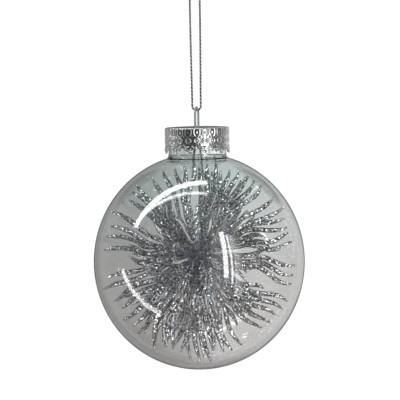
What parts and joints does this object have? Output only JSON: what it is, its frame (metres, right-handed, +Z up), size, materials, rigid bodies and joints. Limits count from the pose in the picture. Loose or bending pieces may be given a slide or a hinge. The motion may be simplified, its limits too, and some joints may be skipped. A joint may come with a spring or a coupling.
{
  "type": "glass ball ornament",
  "caption": "Clear glass ball ornament with a silver glittered spray inside, a stamped crown cap, a spring wire hanger and a twisted silver hanging string.",
  "frame": {"origin": "the point inside the top of the string's loop where a hook holds it, on the ornament's axis", "axes": "+Z up along the ornament's axis; the hanger wire's eye lies in the YZ plane and the string's loop in the XZ plane"},
  "size_m": [0.0798, 0.0798, 0.1521],
  "materials": {
    "clear_glass": "clear, polished, faintly grey",
    "crown_cap_silver": "bright stamped thin sheet, silver plated",
    "hanger_steel": "drawn spring wire, bright",
    "silver_thread": "twisted metallic cord",
    "hub_plastic": "moulded, matte dark grey",
    "glittered_leaf": "moulded leaves coated in silver glitter"
  },
  "bodies": {
    "knot": {"string_knot": "silver_thread"},
    "string": {"hanging_string": "silver_thread"},
    "hanger": {"hanger_wire": "hanger_steel"},
    "cap": {"crown_cap": "crown_cap_silver"},
    "ball": {"glass_ball": "clear_glass", "spray_hub": "hub_plastic", "belt_sprig_01": "glittered_leaf", "belt_sprig_02": "glittered_leaf", "belt_sprig_03": "glittered_leaf", "belt_sprig_04": "glittered_leaf", "belt_sprig_05": "glittered_leaf", "belt_sprig_06": "glittered_leaf", "belt_sprig_07": "glittered_leaf", "belt_sprig_08": "glittered_leaf", "belt_sprig_09": "glittered_leaf", "belt_sprig_10": "glittered_leaf", "belt_sprig_11": "glittered_leaf", "belt_sprig_12": "glittered_leaf", "belt_sprig_13": "glittered_leaf", "belt_sprig_14": "glittered_leaf", "belt_sprig_15": "glittered_leaf", "belt_sprig_16": "glittered_leaf", "belt_sprig_17": "glittered_leaf", "belt_sprig_18": "glittered_leaf", "belt_sprig_19": "glittered_leaf", "belt_sprig_20": "glittered_leaf", "belt_sprig_21": "glittered_leaf", "belt_sprig_22": "glittered_leaf", "belt_sprig_23": "glittered_leaf", "belt_sprig_24": "glittered_leaf", "front_sprig_01": "glittered_leaf", "front_sprig_02": "glittered_leaf", "front_sprig_03": "glittered_leaf", "front_sprig_04": "glittered_leaf", "front_sprig_05": "glittered_leaf", "front_sprig_06": "glittered_leaf", "front_sprig_07": "glittered_leaf", "front_sprig_08": "glittered_leaf", "back_sprig_01": "glittered_leaf", "back_sprig_02": "glittered_leaf", "back_sprig_03": "glittered_leaf", "back_sprig_04": "glittered_leaf", "back_sprig_05": "glittered_leaf", "back_sprig_06": "glittered_leaf", "back_sprig_07": "glittered_leaf", "back_sprig_08": "glittered_leaf", "front_middle_sprig_01": "glittered_leaf", "front_middle_sprig_02": "glittered_leaf", "front_middle_sprig_03": "glittered_leaf", "front_middle_sprig_04": "glittered_leaf", "front_middle_sprig_05": "glittered_leaf", "back_middle_sprig_01": "glittered_leaf", "back_middle_sprig_02": "glittered_leaf", "back_middle_sprig_03": "glittered_leaf", "back_middle_sprig_04": "glittered_leaf", "back_middle_sprig_05": "glittered_leaf"}
  },
  "joints": [
    {"name": "string_turn", "type": "hinge", "parent": "knot", "child": "string", "pos_m": [0, 0, 0], "axis": [0, 0, 1], "continuous": true},
    {"name": "hanger_swing", "type": "hinge", "parent": "string", "child": "hanger", "pos_m": [0, 0, -0.0426], "axis": [0, 1, 0], "range_deg": [-80, 80]},
    {"name": "cap_lift", "type": "slide", "parent": "hanger", "child": "cap", "axis": [0, 0, 1], "range_m": [0, 0.0035]},
    {"name": "ball_pull_off", "type": "slide", "parent": "hanger", "child": "ball", "axis": [0, 0, -1], "range_m": [0, 0.02]}
  ]
}
